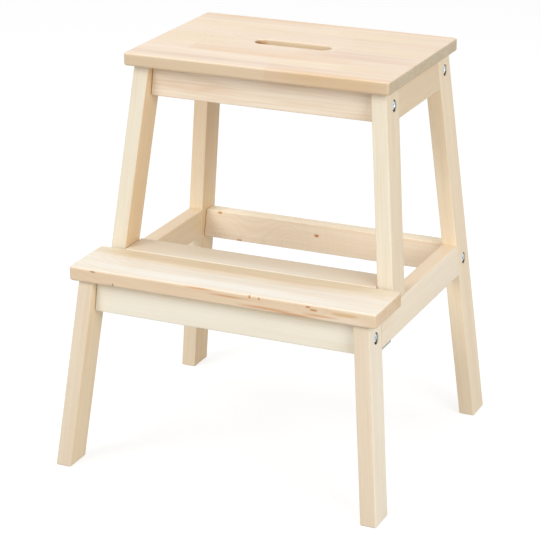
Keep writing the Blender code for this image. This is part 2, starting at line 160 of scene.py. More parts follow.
def rounded_outline(half_x, half_y, radius, inset):
    """Rounded rectangles, one for each inset.

    Each corner is a quarter circle of (radius - inset) about its own centre, and the sides
    stand (half - inset) from the middle.
    """
    inset = np.asarray(inset, float)[:, None]
    bend = np.maximum(radius - inset, 0.04 * MM)
    turn = np.linspace(0, math.pi / 2, CORNER_STEPS + 1)
    angle = (np.arange(4)[:, None] * math.pi / 2 + turn).ravel()
    quarter = np.repeat(np.arange(4), CORNER_STEPS + 1)
    sign_x = np.where((quarter == 0) | (quarter == 3), 1.0, -1.0)
    sign_y = np.where(quarter < 2, 1.0, -1.0)
    x = sign_x * (half_x - inset - bend) + bend * np.cos(angle)
    y = sign_y * (half_y - inset - bend) + bend * np.sin(angle)
    return np.stack([x, y], axis=-1)


def eased_profile(half, ease):
    """(inset, height) from the bottom face round both eased edges to the top face.

    An edge is a quarter circle: inset = ease (1 - sin t), height = half - ease (1 - cos t).
    """
    turn = np.linspace(0, math.pi / 2, EASE_STEPS + 1)
    inset = ease * (1 - np.sin(turn))
    drop = ease * (1 - np.cos(turn))
    inset = np.concatenate([[ease + SUPPORT], inset, [0.0]])
    height = np.concatenate([[0.0], drop, [ease + SUPPORT]])
    return np.concatenate([inset, inset[::-1]]), np.concatenate([height - half, half - height[::-1]])


def leaning_sides(node, slopes):
    """Where a CAD node's four side faces stand at height z, from its box and their slopes."""
    low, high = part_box(node)
    rise = high.z - low.z
    starts = (
        low.x - min(0, slopes[0] * rise),
        high.x - max(0, slopes[1] * rise),
        low.y - min(0, slopes[2] * rise),
        high.y - max(0, slopes[3] * rise),
    )
    return low.z, high.z, lambda z: [s + k * (z - low.z) for s, k in zip(starts, slopes)]


def eased_block(name, node, slopes, axis, ease, corner):
    """A block with eased edges, laid into the space of a CAD node.

    Rounded outlines are stacked along the given axis. The unit cube they fill is then
    stretched between the node's side faces: x = x0 + u (x1 - x0), and the same for y.
    """
    low, high, sides = leaning_sides(node, slopes)
    middle = sides((low + high) / 2)
    half = np.array([middle[1] - middle[0], middle[3] - middle[2], high - low]) / 2
    order = [(axis + 1) % 3, (axis + 2) % 3, axis]
    inset, height = eased_profile(half[axis], ease)
    outline = rounded_outline(half[order[0]], half[order[1]], corner, inset)
    rings = np.empty((len(inset), outline.shape[1], 3))
    rings[..., order[0]] = outline[..., 0]
    rings[..., order[1]] = outline[..., 1]
    rings[..., order[2]] = height[:, None]
    points, faces = capped_rings(rings)
    unit = (points / half + 1) / 2
    z = low + unit[:, 2] * (high - low)
    x0, x1, y0, y1 = sides(z)
    points = np.stack([x0 + unit[:, 0] * (x1 - x0), y0 + unit[:, 1] * (y1 - y0), z], axis=-1)
    return mesh_object(name, points, faces)


def reach(angle, half_x, half_y, radius):
    """Distance from a rounded rectangle's middle to its edge along each angle, by halving."""
    way = np.stack([np.cos(angle), np.sin(angle)], axis=-1)
    near, far = np.zeros(len(angle)), np.full(len(angle), 2 * max(half_x, half_y))
    inner = np.array([half_x - radius, half_y - radius])
    for _ in range(48):
        test = (near + far) / 2
        beyond = np.abs(way * test[:, None]) - inner
        outside = np.hypot(*np.maximum(beyond, 0).T) + np.minimum(beyond.max(1), 0) > radius
        near, far = np.where(outside, near, test), np.where(outside, test, far)
    return (near + far) / 2


def slotted_board(name, node, ease, corner, slot_middle):
    """A board with a slot right through it: one closed loop of rings, each a ray-cast outline.

    The loop runs up the outer side, over the eased edge, across the top to the slot's rim,
    down its wall and back under. Ring points share their angle about the slot's middle.
    """
    low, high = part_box(node)
    size = (high - low) / 2
    centre = (high + low) / 2
    outer_half = (size.x, size.y)
    slot_half = (SLOT_LENGTH / 2, SLOT_WIDTH / 2)
    offset = np.array([0.0, slot_middle - centre.y])
    outer = rounded_outline(*outer_half, corner, [0.0])[0] - offset
    stadium = rounded_outline(slot_half[0], slot_half[1], slot_half[1] - 0.01 * MM, [0.0])[0]
    fill = np.linspace(-math.pi, math.pi, 96, endpoint=False)
    rims = [np.arctan2(rim[:, 1], rim[:, 0]) for rim in (outer, stadium)]
    angle = np.sort(np.concatenate([*rims, fill]))
    angle = angle[np.append(True, np.diff(angle) > 0.004)]

    def outer_ring(inset):
        edge = rounded_outline(*outer_half, corner, [inset])[0] - offset
        way = np.stack([np.cos(angle), np.sin(angle)], axis=-1)
        return way * outer_reach(angle, edge)[:, None]

    def outer_reach(angles, edge):
        """Where rays from the slot's middle meet the outline's straight steps."""
        start, end = edge, np.roll(edge, -1, axis=0)
        way = np.stack([np.cos(angles), np.sin(angles)], axis=-1)
        step = end - start
        cross = way[:, None, 0] * step[None, :, 1] - way[:, None, 1] * step[None, :, 0]
        with np.errstate(divide="ignore", invalid="ignore"):
            along = (start[None, :, 0] * step[None, :, 1] - start[None, :, 1] * step[None, :, 0]) / cross
            share = (start[None, :, 0] * way[:, None, 1] - start[None, :, 1] * way[:, None, 0]) / cross
        good = (along > 0) & (share >= -1e-9) & (share <= 1 + 1e-9) & np.isfinite(along)
        return np.where(good, along, np.inf).min(1)

    def slot_ring(growth):
        far = reach(angle, slot_half[0] + growth, slot_half[1] + growth, slot_half[1] + growth - 0.01 * MM)
        return np.stack([np.cos(angle), np.sin(angle)], axis=-1) * far[:, None]

    inset, height = eased_profile(size.z, ease)
    growth, wall = eased_profile(size.z, SLOT_EASE)
    flat = [outer_ring(i) for i in inset] + [slot_ring(g) for g in growth[::-1]]
    levels = np.concatenate([height, wall[::-1]])
    rings = np.empty((len(flat), len(angle), 3))
    rings[..., :2] = np.stack(flat) + np.array([centre.x, slot_middle])
    rings[..., 2] = levels[:, None] + centre.z
    return mesh_object(name, rings.reshape(-1, 3), ring_faces(len(flat), len(angle), closed=True))


def frame_along(direction):
    """Two unit vectors square to a direction and to each other."""
    way = Vector(direction).normalized()
    side = way.orthogonal().normalized()
    return np.array(way), np.array(side), np.array(way.cross(side))


def turned_points(start, direction, radius, height, count):
    """Rings about an axis: start + height along it + radius (cos a, sin a) across it."""
    way, side, other = frame_along(direction)
    angle = np.linspace(0, 2 * math.pi, count, endpoint=False)
    radius = np.asarray(radius, float)
    radius = radius[:, None] * np.ones(count) if radius.ndim == 1 else radius
    across = np.cos(angle)[:, None] * side + np.sin(angle)[:, None] * other
    return np.asarray(start) + np.asarray(height)[:, None, None] * way + radius[..., None] * across


BORE_LEAD = 4 * MM


def bore(piece, start, direction, radius, depth, count=48):
    """Cuts a round hole of this depth into a piece, from just outside its face."""
    height = [-BORE_LEAD, depth]
    points, faces = capped_rings(turned_points(start, direction, [radius, radius], height, count))
    cutter = mesh_object(piece.name + "_cutter", points, faces)
    trim = piece.modifiers.new("bore", "BOOLEAN")
    trim.operation = "DIFFERENCE"
    trim.solver = "EXACT"
    trim.object = cutter
    graph = bpy.context.evaluated_depsgraph_get()
    cut = bpy.data.meshes.new_from_object(piece.evaluated_get(graph))
    piece.modifiers.remove(trim)
    piece.data = cut
    bpy.data.objects.remove(cutter)


def smooth(piece):
    """Smooth shading, with an edge kept sharp where its faces meet at a clear angle."""
    mesh = piece.data
    mesh.polygons.foreach_set("use_smooth", np.ones(len(mesh.polygons), bool))
    mesh.set_sharp_from_angle(angle=SMOOTH_BELOW)


def settle(piece, material, slot, *nodes):
    """Shades and paints a finished piece and ties it to the frame."""
    smooth(piece)
    piece.data.materials.clear()
    piece.data.materials.append(material)
    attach(piece, "root")
    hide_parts(*nodes)
    return piece


# ---------------------------------------------------------------- materials


class Value:
    """A number or colour that varies over a surface; sums on it add Math nodes."""

    def __init__(self, graph, socket):
        self.graph = graph
        self.socket = socket

    def math(self, operation, *others):
        inputs = dict(enumerate((self, *others)))
        return self.graph.node("ShaderNodeMath", {"operation": operation}, inputs)

    def __add__(self, other):
        return self.math("ADD", other)

    __radd__ = __add__

    def __mul__(self, other):
        return self.math("MULTIPLY", other)

    __rmul__ = __mul__

    def __sub__(self, other):
        return self.math("SUBTRACT", other)

    def __rsub__(self, other):
        return self.graph.node("ShaderNodeMath", {"operation": "SUBTRACT"}, {0: other, 1: self})

    def __truediv__(self, other):
        return self.math("DIVIDE", other)

    def __pow__(self, other):
        return self.math("POWER", other)

    def __abs__(self):
        return self.math("ABSOLUTE")

    def most(self, other):
        return self.math("MAXIMUM", other)

    def least(self, other):
        return self.math("MINIMUM", other)

    def floor(self):
        return self.math("FLOOR")

    def wave(self):
        """A cosine with a period of 1, from 0 to 1."""
        return 0.5 - 0.5 * (self * (2 * math.pi)).math("COSINE")

    def rise(self, low, high):
        """A smooth step: 0 below low, 1 above high, or the reverse where high is the lower."""
        settings = {"interpolation_type": "SMOOTHSTEP"}
        rising = high > low
        start, end = (low, high) if rising else (high, low)
        sockets = {"Value": self, 1: start, 2: end, 3: 0.0 if rising else 1.0, 4: 1.0 if rising else 0.0}
        return self.graph.node("ShaderNodeMapRange", settings, sockets)


class Graph:
    """The nodes of one material."""

    def __init__(self, name):
        self.material = bpy.data.materials.new(name)
        self.material.use_nodes = True
        self.tree = self.material.node_tree
        self.tree.nodes.clear()

    @classmethod
    def of_tree(cls, tree):
        """The nodes of a tree that isn't a material's, such as the world's."""
        graph = cls.__new__(cls)
        graph.tree = tree
        tree.nodes.clear()
        return graph

    def node(self, kind, settings=None, inputs=None, output=0):
        """Any node: its type, its settings, then the values or links of its sockets.

        A ramp's stops are a setting too: (position, three numbers) for each. Several
        outputs are asked for with a tuple, and come back as a list.
        """
        made = self.tree.nodes.new(kind)
        for key, value in (settings or {}).items():
            if key == "stops":
                self.set_stops(made.color_ramp, value)
            else:
                setattr(made, key, value)
        for key, value in (inputs or {}).items():
            if isinstance(value, Value):
                self.tree.links.new(value.socket, made.inputs[key])
            else:
                made.inputs[key].default_value = value
        if isinstance(output, tuple):
            return [Value(self, made.outputs[i]) for i in output]
        return Value(self, made.outputs[output]) if len(made.outputs) else None

    @staticmethod
    def set_stops(ramp, stops):
        """Puts the stops of a ramp that jumps from each to the next."""
        ramp.interpolation = "CONSTANT"
        while len(ramp.elements) < len(stops):
            ramp.elements.new(0.5)
        for element, (position, numbers) in zip(ramp.elements, sorted(stops)):
            element.position = position
            element.color = (*numbers, 1.0)

    def parts(self, colour):
        """The three channels of a colour."""
        return self.node("ShaderNodeSeparateColor", None, {0: colour}, (0, 1, 2))

    def vector(self, x, y, z):
        return self.node("ShaderNodeCombineXYZ", None, {0: x, 1: y, 2: z})

    def dot(self, vector, fixed):
        return self.node("ShaderNodeVectorMath", {"operation": "DOT_PRODUCT"}, {0: vector, 1: fixed}, 1)

    def noise(self, x, y, z, detail=2.0, roughness=0.5):
        """Smooth noise of about 0 to 1 at a point given by three numbers."""
        inputs = {
            "Vector": self.vector(x, y, z),
            "Scale": 1.0,
            "Detail": detail,
            "Roughness": roughness,
        }
        return self.node("ShaderNodeTexNoise", {"noise_dimensions": "3D"}, inputs)

    def mix(self, factor, first, second, blend="MIX"):
        settings = {"data_type": "RGBA", "blend_type": blend, "clamp_factor": True}
        return self.node("ShaderNodeMix", settings, {0: factor, 6: first, 7: second}, 2)

    def chance(self, x, y, z):
        """Three numbers from 0 to 1 that jump from one whole cell to the next."""
        cell = {"Vector": self.vector(x, y, z)}
        return self.parts(self.node("ShaderNodeTexWhiteNoise", {"noise_dimensions": "3D"}, cell, 1))

    def steps(self, place, stops):
        """Three numbers that jump from stop to stop of a colour ramp."""
        return self.parts(self.node("ShaderNodeValToRGB", {"stops": stops}, {0: place}))

    def surface(self, **sockets):
        """The Principled shader and the output; names use _ for a space."""
        inputs = {key.replace("_", " "): value for key, value in sockets.items()}
        shader = self.node("ShaderNodeBsdfPrincipled", None, inputs)
        self.node("ShaderNodeOutputMaterial", None, {"Surface": shader})
        return self.material


def linear(red, green, blue):
    """A display colour of 0 to 255 as scene light."""
    share = np.array([red, green, blue]) / 255
    light = np.where(share <= 0.04045, share / 12.92, ((share + 0.055) / 1.055) ** 2.4)
    return (*[float(v) for v in light], 1.0)


def scaled(colour, *shares):
    """A display colour as scene light, with each channel multiplied by a share."""
    return (*[min(1.0, value * share) for value, share in zip(linear(*colour), shares)], 1.0)


def board_axes(along, through):
    """Unit vectors along the grain, across the board and out through its face."""
    along = Vector(along).normalized()
    across = Vector(through).cross(along).normalized()
    return along, across, along.cross(across)


def spot(place, centre, reach, soft):
    """A long soft mark in board coordinates: 1 inside, falling to 0 at its reach.

    gap = fourth root of (along^4 + (across^2 + through^2)^2), each divided by its reach.
    """
    along, across, through = [(p - m) / r for p, m, r in zip(place, centre, reach)]
    round_part = across * across + through * through
    gap = (along * along * along * along + round_part * round_part) ** 0.25
    return gap.rise(1.0, 1.0 - soft)


# How far one unit of a stave's listed tone or blush goes
TONE_STEP = 0.007
BLUSH_STEP = 0.008


def lay_up(graph, a, c, rows, width, shift):
    """Glued staves, listed from front to back.

    A row has two butt joints, then the tone and the blush of its three lengths. Stepped
    colour ramps across the board hand each row's numbers on, scaled to 0 to 1.
    """
    place = c / width + shift
    share = place / float(len(rows))
    picks = []
    for pick in (lambda row: (*row[0], 0.0), lambda row: row[1], lambda row: row[2]):
        stops = [(index / len(rows), [(v + 500) / 1000 for v in pick(row)]) for index, row in enumerate(rows)]
        picks.append(graph.steps(share, stops))
    (first, second, _), tones, blushes = [[v * 1000.0 - 500.0 for v in pick] for pick in picks]
    past_first = a.math("GREATER_THAN", first)
    past_second = a.math("GREATER_THAN", second)
    tone = tones[0] + past_first * (tones[1] - tones[0]) + past_second * (tones[2] - tones[1])
    blush = blushes[0] + past_first * (blushes[1] - blushes[0]) + past_second * (blushes[2] - blushes[1])
    row_cell = place.floor()
    length_cell = past_first + past_second
    edge = abs(place - row_cell - 0.5).rise(0.5 - 0.45 / width, 0.5)
    joints = abs(a - first).least(abs(a - second)).rise(0.5, 0.15)
    local = (place - row_cell - 0.5) * width
    return tone * TONE_STEP, blush * BLUSH_STEP, edge.most(joints), row_cell, length_cell, local


def wood(
    name,
    middle,
    along,
    through,
    seed,
    face,
    edge=None,
    end=None,
    # inner: shares of the painted shade on the back face
    inner=(0.95, 0.85, 0.71),
    figure=1.0,
    ring_gap=5.0,
    ring_depth=0.35,
    bow=(0.0, 0.0),
    blush=(1.0, 0.92, 0.85),
    lay=None,
    marks=(),
):
    """Clear-lacquered pale wood whose growth rings and fibres follow one piece's own axes.

    a, c and t are millimetres along, across and through the piece. Rings are shells about a
    pith line under the face: distance = hypot(c - side, t + depth - k (a - a0)^2) + wobble.
    The face, the narrow edge and the end grain each have their own mean colour. The back face,
    turned away along the through axis, has painted shade: darker and warmer by the inner shares.
    """
    graph = Graph(name)
    axes = board_axes(along, through)
    middle = Vector(middle)
    place = graph.node("ShaderNodeTexCoord", None, None, 3)
    normal = graph.node("ShaderNodeTexCoord", None, None, 1)
    a, c, t = (graph.dot(place, tuple(w * 1000)) - w.dot(middle) * 1000 for w in axes)
    turned = [graph.dot(normal, tuple(w)) for w in axes]
    facing = [abs(way) for way in turned]

    chance = [float(v) for v in np.random.default_rng(int(seed * 100)).random(3)]
    side, depth, lean = chance[0] * 60 - 30, chance[1] * 30 + 14, chance[2] * 0.08 - 0.04
    tone, flush, local = 0.0, 0.0, c
    seam = None
    if lay:
        tone, flush, seam, row_cell, length_cell, local = lay_up(graph, a, c, *lay)
        side_chance, depth_chance, lean_chance = graph.chance(row_cell, length_cell, seed)
        side, depth = side_chance * 60.0 - 30.0, depth_chance * 30.0 + 14.0
        lean = lean_chance * 0.08 - 0.04

    wobble = (graph.noise(a * 0.005, c * 0.02, t * 0.02 + seed, 2.0) - 0.5) * 14.0
    ripple = (graph.noise(a * 0.025, c * 0.12, t * 0.12 + seed, 2.0) - 0.5) * 2.0
    bowed = (a - bow[0]) * (a - bow[0]) * bow[1]
    width_part, depth_part = local - side, t + depth - bowed + a * lean
    shell = (width_part * width_part + depth_part * depth_part) ** 0.5 + wobble + ripple
    for centre, reach, kind in marks:
        if kind == "knot_and_painted_shade":
            shell = shell + spot((a, c, t), centre, [r * 5.0 for r in reach], 1.0) * (reach[1] * 2.5)
    strength = graph.noise(shell * 0.16, a * 0.003, seed * 3.1, 1.0).rise(0.3, 0.75)
    ring = (shell / ring_gap).wave() ** 1.8 * (strength * 0.8 + 0.2)
    cloud = graph.noise(a * 0.011, c * 0.035, t * 0.035 + seed * 3.0, 2.0) - 0.5
    broad = graph.noise(a * 0.0035, c * 0.085, t * 0.085 + seed * 2.0, 2.0, 0.5) - 0.5
    streak = graph.noise(a * 0.009, c * 0.42, t * 0.42 + seed, 2.0, 0.55) - 0.5
    fibre = graph.noise(a * 0.022, c * 1.7, t * 1.7 + seed * 5.0, 3.0, 0.6) - 0.5
    warm = graph.noise(a * 0.004, c * 0.05, t * 0.05 + seed * 7.0, 2.0) - 0.5

    # tone of 1 is a darker streak by about a tenth, and -1 a paler one
    grain = (ring - 0.3) * ring_depth + broad * 2.2 + cloud * 1.2 + streak * 1.8 + fibre * 0.8
    tone = grain * figure + tone
    flush = (warm * 1.3 + streak * 0.7) * figure + flush
    pale_share = (1.055, 1.085, 1.12)
    dark_share = (0.945, 0.90, 0.85)
    shade = graph.mix(tone * 0.5 + 0.5, (*pale_share, 1.0), (*dark_share, 1.0))
    # Painted shade: the back face, turned away along the through axis, is darker and warmer
    painted_shade_back_face = graph.mix(turned[2].rise(-0.6, -0.8), linear(*face), scaled(face, *inner))
    colour = graph.mix(facing[1].rise(0.6, 0.8), painted_shade_back_face, linear(*(edge or face)))
    ends = facing[0].rise(0.6, 0.8)
    end_grain = graph.noise(c * 0.3, t * 0.9, seed, 3.0, 0.6)
    end_colour = end or tuple(v * 0.9 for v in (edge or face))
    pale_end, dark_end = scaled(end_colour, 1.06, 1.06, 1.06), scaled(end_colour, 0.92, 0.9, 0.88)
    rough_end = graph.mix(end_grain.rise(0.3, 0.7), pale_end, dark_end)
    colour = graph.mix(ends, colour, rough_end)
    colour = graph.mix(1.0, colour, shade, "MULTIPLY")
    colour = graph.mix(flush.most(0.0), colour, graph.mix(1.0, colour, (*blush, 1.0), "MULTIPLY"))
    fleck = graph.noise(a * 0.13, c * 2.4, t * 2.4 + seed, 1.0).rise(0.70, 0.80)
    colour = graph.mix(fleck * 0.16, colour, graph.mix(1.0, colour, (0.62, 0.5, 0.4, 1.0), "MULTIPLY"))
    # Marks: the wood's own tone, figure and knots, and also painted shade and bounce light; the recess shade
    # has no drift
    for centre, reach, kind in marks:
        drift = 0.0 if kind == "bore" else 1.5
        rim = spot((a, c + cloud * drift, t + streak * drift), centre, reach, SOFT_EDGE[kind])
        tint = graph.mix(1.0, colour, (*MARK_TINT[kind], 1.0), "MULTIPLY")
        colour = graph.mix(rim, colour, tint)
    if seam is not None:
        colour = graph.mix(seam * 0.35, colour, graph.mix(1.0, colour, (0.82, 0.74, 0.66, 1.0), "MULTIPLY"))
    # Eased edges: a painted highlight makes them a little paler, and their roughness is a little lower
    flat = facing[0].most(facing[1]).most(facing[2])
    edge_polish_and_highlight = flat.rise(0.992, 0.85)
    colour = graph.mix(edge_polish_and_highlight * 0.2, colour, graph.mix(1.0, colour, (1.07, 1.08, 1.08, 1.0), "MULTIPLY"))

    rough = 0.5 + fibre * 0.12 + ring * 0.05 + ends * 0.12 - edge_polish_and_highlight * 0.06
    height = fibre * 0.5 + streak * 0.5 + ring * 0.25 - fleck * 0.5 + ends * end_grain * 0.7
    if seam is not None:
        height = height - seam * 0.6
    bump = graph.node("ShaderNodeBump", None, {"Strength": 0.2, "Distance": 0.1 * MM, "Height": height})
    return graph.surface(Base_Color=colour, Roughness=rough, Normal=bump, IOR=1.45, Coat_Weight=0.05)


def zinc(name, colour=(212, 224, 230), rough=0.16):
    """Bright zinc plate: slight cloud in tone, duller specks and fine scratches."""
    graph = Graph(name)
    place = graph.node("ShaderNodeTexCoord", None, None, 3)
    x, y, z = (graph.dot(place, tuple(1000.0 * (i == k) for i in range(3))) for k in range(3))
    cloud = graph.noise(x * 0.35, y * 0.35, z * 0.35, 3.0)
    speck = graph.noise(x * 6.0, y * 6.0, z * 6.0, 2.0)
    scratch = graph.noise(x * 0.4, y * 9.0, z * 1.2, 2.0, 0.6)
    tint = graph.mix(cloud.rise(0.3, 0.7), linear(*colour), scaled(colour, 0.84, 0.85, 0.86))
    tint = graph.mix(speck.rise(0.62, 0.8) * 0.3, tint, scaled(colour, 0.6, 0.6, 0.6))
    roughness = rough + cloud * 0.12 + scratch.rise(0.5, 0.75) * 0.12
    height = speck * 0.4 + scratch * 0.6
    bump = graph.node("ShaderNodeBump", None, {"Strength": 0.15, "Distance": 0.05 * MM, "Height": height})
    return graph.surface(Base_Color=tint, Roughness=roughness, Metallic=1.0, Normal=bump)


# ---------------------------------------------------------------- the stool

back_low, back_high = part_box("back_leg_right")
back_rise = back_high.z - back_low.z
front_low, front_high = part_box("lower_front_leg_right")
front_rise = front_high.z - front_low.z
SPLAY = (back_high.x - back_low.x - STOCK_THICKNESS * 1.005) / back_rise
BACK_RAKE = (back_high.y - back_low.y - STOCK_WIDTH) / back_rise
FRONT_RAKE = (front_high.y - front_low.y - STOCK_WIDTH) / front_rise

SIDES = {"left": -1, "right": 1}
X, Y, Z = (1, 0, 0), (0, 1, 0), (0, 0, 1)


def middle_of(node):
    low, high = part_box(node)
    return (low + high) / 2


def put_bar(node, slopes, axis, slot, finish, bores=()):
    """Replaces a wooden CAD node with an eased block, with its visible holes bored."""
    piece = eased_block(node + "_wood", node, slopes, axis, BAR_EASE, BAR_EASE + 0.3 * MM)
    for hole in bores:
        bore(piece, *hole)
    return settle(piece, finish, slot, node)


HEAD_SEAT = 3.2 * MM
RECESS_RADIUS = 7.3 * MM
RECESS_REACH = 12 * MM


def bolt_recess(place, side_name):
    """The round recess that a bolt's head lies in, from the leg's outer face."""
    side = SIDES[side_name]
    low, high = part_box(f"bolt_{place}_{side_name}")
    middle = (low + high) / 2
    head = high.x if side > 0 else low.x
    seat = head - side * HEAD_SEAT
    start = (seat + side * RECESS_REACH, middle.y, middle.z)
    return start, (-side, 0, 0), RECESS_RADIUS, RECESS_REACH


def painted_recess_shade(bolt, leg, along, outward):
    """Painted shade: a dark ring on the wall of a bolt's recess, in its leg's board coordinates, from just
    under the face.
    """
    low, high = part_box(bolt)
    head = (low + high) / 2
    head.x = (high.x if outward[0] > 0 else low.x) - outward[0] * 2.2 * MM
    offset = head - middle_of(leg)
    centre = [offset.dot(way) * 1000 for way in board_axes(along, outward)]
    return centre, (9.0, 9.0, 2.6), "bore"


def nut_hole(place, side_name):
    """The hole in a rail's rear face that its barrel nut lies in."""
    low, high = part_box(f"barrel_nut_{place}_{side_name}")
    middle = (low + high) / 2
    rail_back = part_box(place + "_rail")[1].y
    return (middle.x, rail_back, middle.z), (0, -1, 0), 5.3 * MM, rail_back - low.y + 0.3 * MM


def screw_pocket(node, rail):
    """The pocket under a rail that a wood screw's head lies in."""
    low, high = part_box(node)
    middle = (low + high) / 2
    rail_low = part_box(rail)[0].z
    return (middle.x, middle.y, rail_low), (0, 0, 1), 5.0 * MM, low.z - rail_low + 1.0 * MM, 32


# Top board lay-up, front to back: two joints in millimetres, then tone and blush of each length
TOP_STAVE = 26.1
TOP_ROWS = (
    ((14, 400), (15, 85, 0), (12, 14, 0)),
    ((-400, 96), (0, -50, 20), (0, 0, 10)),
    ((-111, 96), (-50, 45, 5), (0, 30, 5)),
    ((-111, 18), (-20, 5, 60), (0, 5, 20)),
    ((-400, 60), (0, -10, 50), (0, 0, 18)),
    ((-80, 75), (-45, 0, 15), (0, 5, 5)),
    ((-90, 58), (-60, -5, 45), (0, 5, 22)),
    ((-400, 30), (0, -40, 0), (0, 0, 5)),
    ((-5, 400), (55, 30, 0), (20, 25, 0)),
)
# Marks: centre and reach in millimetres along, across and through the board, then the kind
TOP_MARKS = (
    ((105, -10, 9), (105, 7, 9), "mauve"),
    ((110, -27, 9), (100, 14, 9), "mauve"),
    ((-30, -58, 9), (105, 9, 9), "peach"),
    ((-20, -76, 9), (130, 11, 9), "cream"),
    ((-70, -97, 9), (180, 12, 9), "mauve"),
    ((100, -113, 8), (100, 8, 9), "peach"),
    ((100, -118, 0), (95, 6, 12), "peach"),
    ((-60, 109, 9), (150, 9, 9), "peach"),
    ((110, 113, 9), (90, 7, 9), "peach"),
    ((-110, 62, 9), (130, 38, 9), "butter"),
    ((-150, -10, 9), (120, 45, 9), "butter"),
    ((70, 78, 9), (110, 26, 9), "butter"),
    ((120, 18, 9), (75, 18, 9), "butter"),
    ((80, -75, 9), (110, 22, 9), "butter"),
    # Painted shade in the hand hole: the next mark darkens the slot's walls, and the one after paints deeper
    # shade at its left end
    ((0, 3.6, 1), (78, 19, 8.0), "peach"),
    ((-54, 3.6, 1), (20, 20, 7.5), "knot_and_painted_shade"),
)
STEP_MARKS = (
    ((0, 34, 9), (260, 22, 40), "tan"),
    ((0, 14, 9), (250, 13, 40), "peach"),
    ((-20, -24, 12), (230, 17, 9), "pale"),
    ((158, -42, -3.5), (44, 6, 6.5), "pale"),
    ((60, -42, -4.4), (46, 4, 2.6), "rust"),
    ((96, -42, -6.6), (34, 4, 2.4), "rust"),
    ((131, -42, -3.0), (30, 4, 2.0), "rust"),
    ((160, -42, 2.4), (20, 4, 2.6), "tan"),
    ((14, -42, 3.0), (34, 4, 1.9), "rust"),
    ((-24, -42, 7.2), (26, 5, 1.9), "rust"),
    ((115, -42, 6.0), (4, 3, 1.5), "knot_and_painted_shade"),
    ((122, -42, 3.0), (6, 3, 1.5), "knot_and_painted_shade"),
    ((41, -41.5, 7.0), (1.9, 3, 2.4), "knot_and_painted_shade"),
    ((53, -42, 6.4), (1.7, 3, 1.9), "knot_and_painted_shade"),
    ((-166, -42, 6.5), (4.6, 3, 1.2), "fleck"),
    ((-143, -42, -6), (5.4, 3, 3.0), "mauve"),
    ((-139, -42, -6), (1.2, 3, 2.8), "fleck"),
)


def make_boards():
    middle = middle_of("top_board")
    top = slotted_board("top_board_wood", "top_board", BOARD_EASE, BOARD_CORNER, SLOT_MIDDLE)
    finish = wood(
        "top_board_aspen", middle, X, Z, 11.3, (231, 212, 191), (215, 196, 168), (199, 185, 159),
        figure=0.8, ring_gap=6.0, lay=(TOP_ROWS, TOP_STAVE, len(TOP_ROWS) / 2), marks=TOP_MARKS,
    )
    settle(top, finish, "top_wood", "top_board")
    step = eased_block("step_board_wood", "step_board", (0, 0, 0, 0), 2, BOARD_EASE, BOARD_CORNER)
    finish = wood(
        "step_board_aspen", middle_of("step_board"), X, Z, 5.7, (234, 225, 210), (220, 196, 166),
        (222, 198, 167), figure=0.7, ring_gap=6.5, ring_depth=0.8, bow=(98.0, 0.0008), marks=STEP_MARKS,
    )
    settle(step, finish, "step_wood", "step_board")
    finish = wood(
        "step_back_slat_aspen", middle_of("step_back_slat"), X, Z, 2.9, (224, 209, 186), figure=0.6,
        marks=(((0, -17, 9), (200, 17, 30), "pale"),),
    )
    put_bar("step_back_slat", (SPLAY, -SPLAY, 0, 0), 0, "step_wood", finish)


def make_cross_rails():
    looks = {
        "upper_front": dict(
            face=(230, 213, 191), figure=2.0, ring_gap=3.6, ring_depth=0.7,
        ),
        "upper_back": dict(face=(234, 216, 192)),
        "lower_front": dict(
            # Its mark paints warm bounce light along the top of the front face, in the shade under the step
            face=(236, 229, 211), figure=0.5, ring_gap=7.0, marks=(((0, 18, 10), (260, 10, 30), "painted_warm_bounce"),),
        ),
        "lower_back": dict(
            # Its edge colour is paler than its wood: painted light on the rail's top face, also on the unseen
            # bottom face
            face=(241, 222, 196), edge=(252, 240, 216), figure=1.0, ring_gap=6.0, ring_depth=0.8,
            bow=(-97.0, 0.012),
            marks=(
                ((-8.7, 4.3, 10), (4.6, 2.8, 9), "knot_and_painted_shade"),
                ((-8.7, 4.3, 10), (2.0, 1.4, 9), "knot_and_painted_shade"),
                ((-148, 17, 10), (4, 2.2, 9), "knot_and_painted_shade"),
                ((-120, -18, 10), (5, 2, 9), "knot_and_painted_shade"),
            ),
        ),
    }
    for index, (place, look) in enumerate(looks.items()):
        node = place + "_rail"
        finish = wood(node + "_aspen", middle_of(node), X, (0, -1, 0), 3.1 + 4.7 * index, **look)
        bores = [nut_hole(place, side_name) for side_name in SIDES]
        if place.startswith("upper"):
            which = place.split("_")[1]
            bores += [screw_pocket(f"top_screw_{which}_{side_name}", node) for side_name in SIDES]
        if place == "lower_front":
            bores += [screw_pocket(f"step_screw_front_{side_name}", node) for side_name in SIDES]
        put_bar(node, (SPLAY, -SPLAY, 0, 0), 0, "rail_wood", finish, bores)


LEGS = {
    "lower_front_leg": ((239, 228, 207), (222, 206, 182), ("lower_front",)),
    "upper_front_leg": ((230, 213, 185), (225, 215, 194), ("upper_front",)),
    "back_leg": ((236, 218, 189), (240, 221, 191), ("upper_back", "lower_back")),
}
SIDE_RAILS = {"upper_side_rail": (223, 202, 170), "lower_side_rail": (239, 225, 202)}


